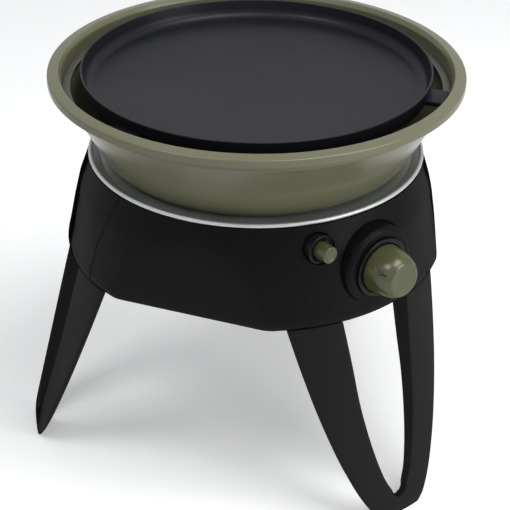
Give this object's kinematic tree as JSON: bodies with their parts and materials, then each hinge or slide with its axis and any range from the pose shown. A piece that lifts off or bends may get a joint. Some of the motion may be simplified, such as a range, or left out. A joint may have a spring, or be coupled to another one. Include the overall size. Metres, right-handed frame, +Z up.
{
  "type": "portable gas griddle stove",
  "caption": "Round gas griddle: a plate in an enamelled pan over a burner, on a low drum housing with a knob, an igniter button and folding loop legs.",
  "frame": {"origin": "middle of the bounding box, on the floor", "axes": "+Z up; the control knob and the front leg face -Y; +X is to the right of someone facing the knob"},
  "size_m": [0.3822, 0.3836, 0.3507],
  "materials": {
    "black_plastic": "satin moulded, very fine grain",
    "olive_plastic": "satin olive green",
    "olive_enamel": "vitreous enamel on steel, satin gloss",
    "black_coating": "non-stick coating on cast metal, satin",
    "grey_steel": "dull dark grey",
    "bright_steel": "bright stainless",
    "cast_metal": "as cast",
    "brass": "turned",
    "ceramic": "glazed ceramic"
  },
  "bodies": {
    "base": {"housing_shell": "black_plastic", "base_cover": "black_plastic", "knob_bezel": "black_plastic", "igniter_body": "black_plastic", "igniter_collar": "black_plastic", "igniter_nut": "black_plastic", "ignition_lead": "black_plastic", "burner_dish": "bright_steel", "mixer_tube": "bright_steel", "spark_electrode": "bright_steel", "hinge_pin_front": "bright_steel", "hinge_pin_right": "bright_steel", "hinge_pin_left": "bright_steel", "tie_bolt_1": "bright_steel", "tie_bolt_2": "bright_steel", "tie_bolt_3": "bright_steel", "tie_nut_1": "bright_steel", "tie_nut_2": "bright_steel", "tie_nut_3": "bright_steel", "burner_screw_1": "bright_steel", "burner_screw_2": "bright_steel", "burner_nut_1": "bright_steel", "burner_nut_2": "bright_steel", "valve_screw_1": "bright_steel", "valve_screw_2": "bright_steel", "burner_body": "cast_metal", "burner_cap": "cast_metal", "gas_jet": "brass", "valve_body": "brass", "gas_inlet": "brass", "electrode_sleeve": "ceramic"},
    "front_leg": {"leg_front": "black_plastic"},
    "right_leg": {"leg_right": "black_plastic"},
    "left_leg": {"leg_left": "black_plastic"},
    "knob": {"control_knob": "olive_plastic", "valve_stem": "brass"},
    "button": {"igniter_button": "olive_plastic"},
    "pan": {"fat_pan": "olive_enamel", "griddle_ring": "grey_steel"},
    "griddle": {"griddle_plate": "black_coating"}
  },
  "joints": [
    {"name": "front_leg_fold", "type": "hinge", "parent": "base", "child": "front_leg", "pos_m": [0, -0.10675, 0.1995], "axis": [1, 0, 0], "range_deg": [0, 106]},
    {"name": "right_leg_fold", "type": "hinge", "parent": "base", "child": "right_leg", "pos_m": [0.10479, 0.07475, 0.1995], "axis": [-0.5, 0.866, 0], "range_deg": [0, 92]},
    {"name": "left_leg_fold", "type": "hinge", "parent": "base", "child": "left_leg", "pos_m": [-0.10479, 0.07475, 0.1995], "axis": [-0.5, -0.866, 0], "range_deg": [0, 62]},
    {"name": "knob_turn", "type": "hinge", "parent": "base", "child": "knob", "pos_m": [0, -0.15575, 0.2276], "axis": [0, -1, 0], "range_deg": [0, 210]},
    {"name": "igniter_press", "type": "slide", "parent": "base", "child": "button", "axis": [0, 1, 0], "range_m": [0, 0.006], "stiffness_N_per_m": 1000, "springref_m": -0.006},
    {"name": "pan_lift", "type": "slide", "parent": "base", "child": "pan", "axis": [0, 0, 1], "range_m": [0, 0.12]},
    {"name": "griddle_lift", "type": "slide", "parent": "pan", "child": "griddle", "axis": [0, 0, 1], "range_m": [0, 0.06]}
  ]
}
